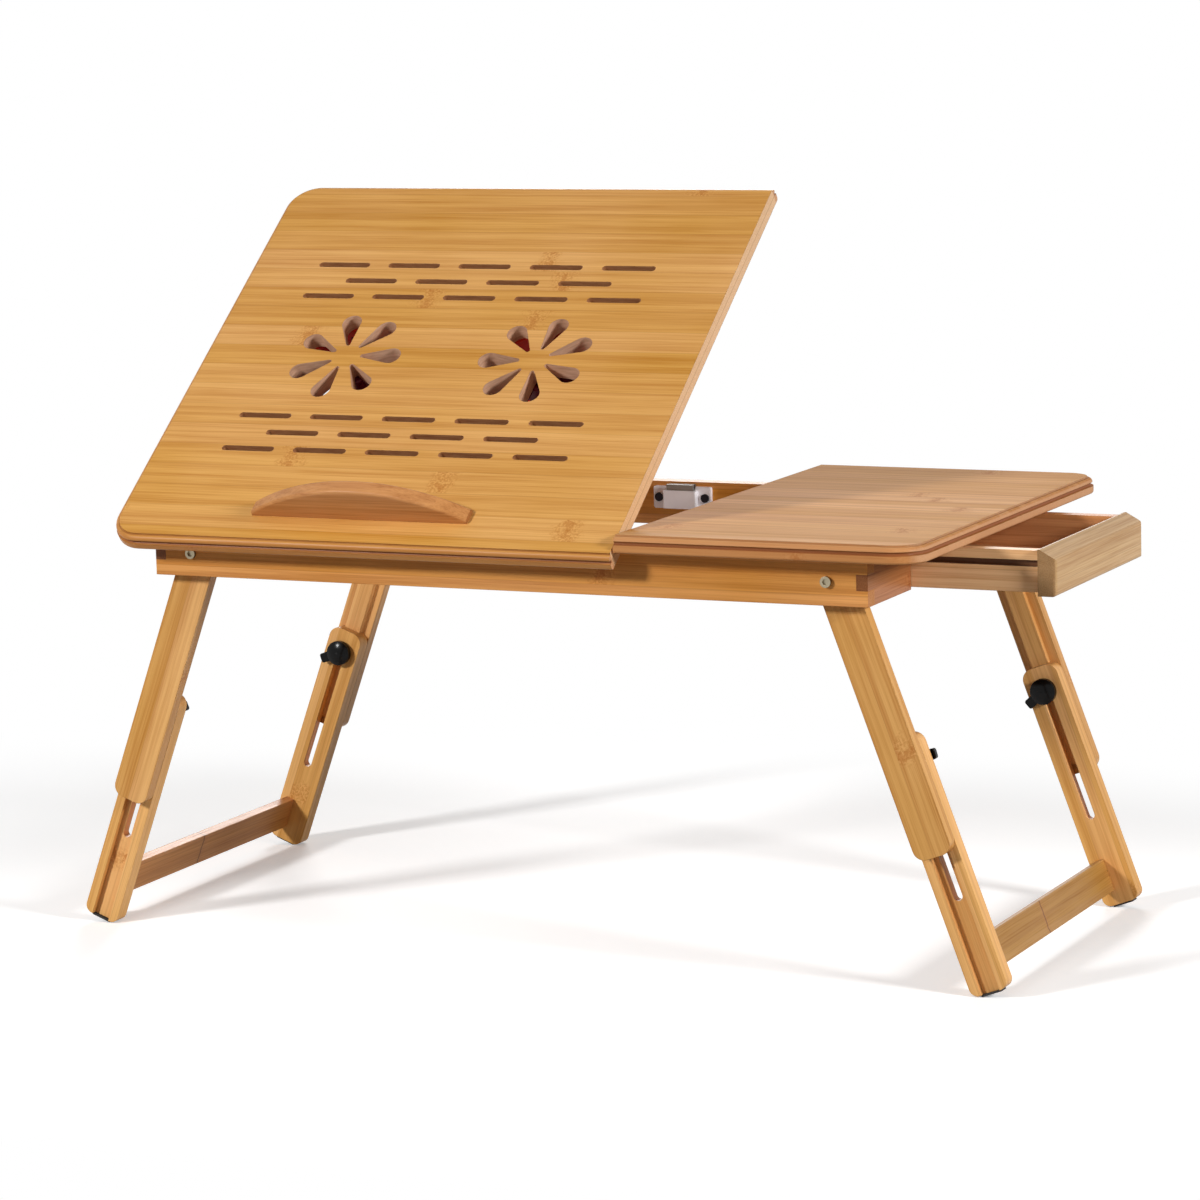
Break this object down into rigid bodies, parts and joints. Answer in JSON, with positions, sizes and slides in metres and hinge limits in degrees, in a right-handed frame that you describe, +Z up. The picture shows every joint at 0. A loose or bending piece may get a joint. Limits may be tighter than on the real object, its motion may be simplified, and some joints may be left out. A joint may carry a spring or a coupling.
{
  "type": "laptop stand",
  "caption": "Folding bamboo laptop table with a tilting vented panel over fans, a side top with a drawer, and telescoping, fold-in legs.",
  "frame": {"origin": "on the floor under the middle of the bounding box, with the table standing as in use", "axes": "+X to the right along the front towards the drawer, +Y from front to back, +Z up"},
  "size_m": [0.6746, 0.3482, 0.4778],
  "materials": {
    "bamboo_panel": "satin bamboo, clear lacquer",
    "bamboo_top": "satin bamboo, clear lacquer",
    "bamboo_frame": "satin bamboo, clear lacquer",
    "bamboo_drawer": "satin bamboo, clear lacquer",
    "bamboo_legs": "satin bamboo, clear lacquer",
    "catch_plastic": "moulded",
    "steel": "zinc plated",
    "brass": "machined",
    "knob_plastic": "glossy",
    "fan_plastic": "moulded",
    "impeller_plastic": "moulded",
    "foot_rubber": "matte"
  },
  "bodies": {
    "frame": {"front_rail": "bamboo_frame", "back_rail": "bamboo_frame", "left_end_rail": "bamboo_frame", "end_stub_front": "bamboo_frame", "end_stub_back": "bamboo_frame", "partition": "bamboo_frame", "drawer_guide_front": "bamboo_frame", "drawer_guide_back": "bamboo_frame", "rack_battens": "bamboo_frame", "rack_left": "bamboo_frame", "rack_right": "bamboo_frame", "fixed_top": "bamboo_top", "catch_body": "catch_plastic", "catch_plates": "steel", "catch_screws": "steel", "pivot_bolts": "steel", "pivot_nuts": "steel", "hinge_frame_leaves": "steel", "hinge_frame_screws": "steel", "hinge_pins": "steel"},
    "tilt_top": {"tilt_panel": "bamboo_panel", "laptop_stop": "bamboo_panel", "strike_plate": "steel", "prop_bearings": "bamboo_frame", "hinge_panel_leaves": "steel", "hinge_panel_screws": "steel", "fan_frame_left": "fan_plastic", "fan_frame_right": "fan_plastic", "fan_screws": "steel"},
    "prop": {"prop_arm_left": "bamboo_frame", "prop_arm_right": "bamboo_frame", "prop_rod": "steel"},
    "fan_left": {"impeller_left": "impeller_plastic"},
    "fan_right": {"impeller_right": "impeller_plastic"},
    "drawer": {"drawer_front": "bamboo_drawer", "drawer_side_front": "bamboo_drawer", "drawer_side_back": "bamboo_drawer", "drawer_back": "bamboo_drawer", "drawer_bottom": "bamboo_drawer"},
    "left_legs_upper": {"left_front_upper_leg": "bamboo_legs", "left_back_upper_leg": "bamboo_legs", "left_inserts": "brass"},
    "left_legs_lower": {"left_front_lower_leg": "bamboo_legs", "left_back_lower_leg": "bamboo_legs", "left_crossbar": "bamboo_legs", "left_foot_pads": "foot_rubber"},
    "left_front_clamp": {"left_front_knob": "knob_plastic"},
    "left_back_clamp": {"left_back_knob": "knob_plastic"},
    "right_legs_upper": {"right_front_upper_leg": "bamboo_legs", "right_back_upper_leg": "bamboo_legs", "right_inserts": "brass"},
    "right_legs_lower": {"right_front_lower_leg": "bamboo_legs", "right_back_lower_leg": "bamboo_legs", "right_crossbar": "bamboo_legs", "right_foot_pads": "foot_rubber"},
    "right_front_clamp": {"right_front_knob": "knob_plastic"},
    "right_back_clamp": {"right_back_knob": "knob_plastic"}
  },
  "joints": [
    {"name": "panel_tilt", "type": "hinge", "parent": "frame", "child": "tilt_top", "pos_m": [-0.08988, -0.15352, 0.27064], "axis": [-1, 0, 0], "range_deg": [0, 37.24]},
    {"name": "prop_swing", "type": "hinge", "parent": "tilt_top", "child": "prop", "pos_m": [-0.08988, -0.069, 0.33313], "axis": [1, 0, 0], "range_deg": [0, 74.48]},
    {"name": "fan_left_spin", "type": "hinge", "parent": "tilt_top", "child": "fan_left", "pos_m": [-0.17368, -0.02638, 0.3615], "axis": [0, -0.6052, 0.7961], "continuous": true},
    {"name": "fan_right_spin", "type": "hinge", "parent": "tilt_top", "child": "fan_right", "pos_m": [-0.03508, -0.02638, 0.3615], "axis": [0, -0.6052, 0.7961], "continuous": true},
    {"name": "left_legs_fold", "type": "hinge", "parent": "frame", "child": "left_legs_upper", "pos_m": [-0.23203, 0.00233, 0.25824], "axis": [0, -1, 0], "range_deg": [0, 110.45]},
    {"name": "left_legs_extend", "type": "slide", "parent": "left_legs_upper", "child": "left_legs_lower", "axis": [0.3494, 0, 0.937], "range_m": [0, 0.088]},
    {"name": "left_front_knob_turn", "type": "hinge", "parent": "left_legs_upper", "child": "left_front_clamp", "pos_m": [-0.27448, -0.11942, 0.1444], "axis": [0, 1, 0], "range_deg": [0, 180]},
    {"name": "left_back_knob_turn", "type": "hinge", "parent": "left_legs_upper", "child": "left_back_clamp", "pos_m": [-0.27448, 0.12408, 0.1444], "axis": [0, -1, 0], "range_deg": [0, 180]},
    {"name": "right_legs_fold", "type": "hinge", "parent": "frame", "child": "right_legs_upper", "pos_m": [0.21407, 0.00233, 0.25824], "axis": [0, 1, 0], "range_deg": [0, 110.45]},
    {"name": "right_legs_extend", "type": "slide", "parent": "right_legs_upper", "child": "right_legs_lower", "axis": [-0.3494, 0, 0.937], "range_m": [0, 0.088]},
    {"name": "right_front_knob_turn", "type": "hinge", "parent": "right_legs_upper", "child": "right_front_clamp", "pos_m": [0.25652, -0.11942, 0.1444], "axis": [0, 1, 0], "range_deg": [0, 180]},
    {"name": "right_back_knob_turn", "type": "hinge", "parent": "right_legs_upper", "child": "right_back_clamp", "pos_m": [0.25652, 0.12408, 0.1444], "axis": [0, -1, 0], "range_deg": [0, 180]},
    {"name": "drawer_slide", "type": "slide", "parent": "frame", "child": "drawer", "axis": [-1, 0, 0], "range_m": [-0.045, 0.084]}
  ],
  "couplings": [
    {"joint": "prop_swing", "follows": "panel_tilt", "ratio": 2}
  ]
}
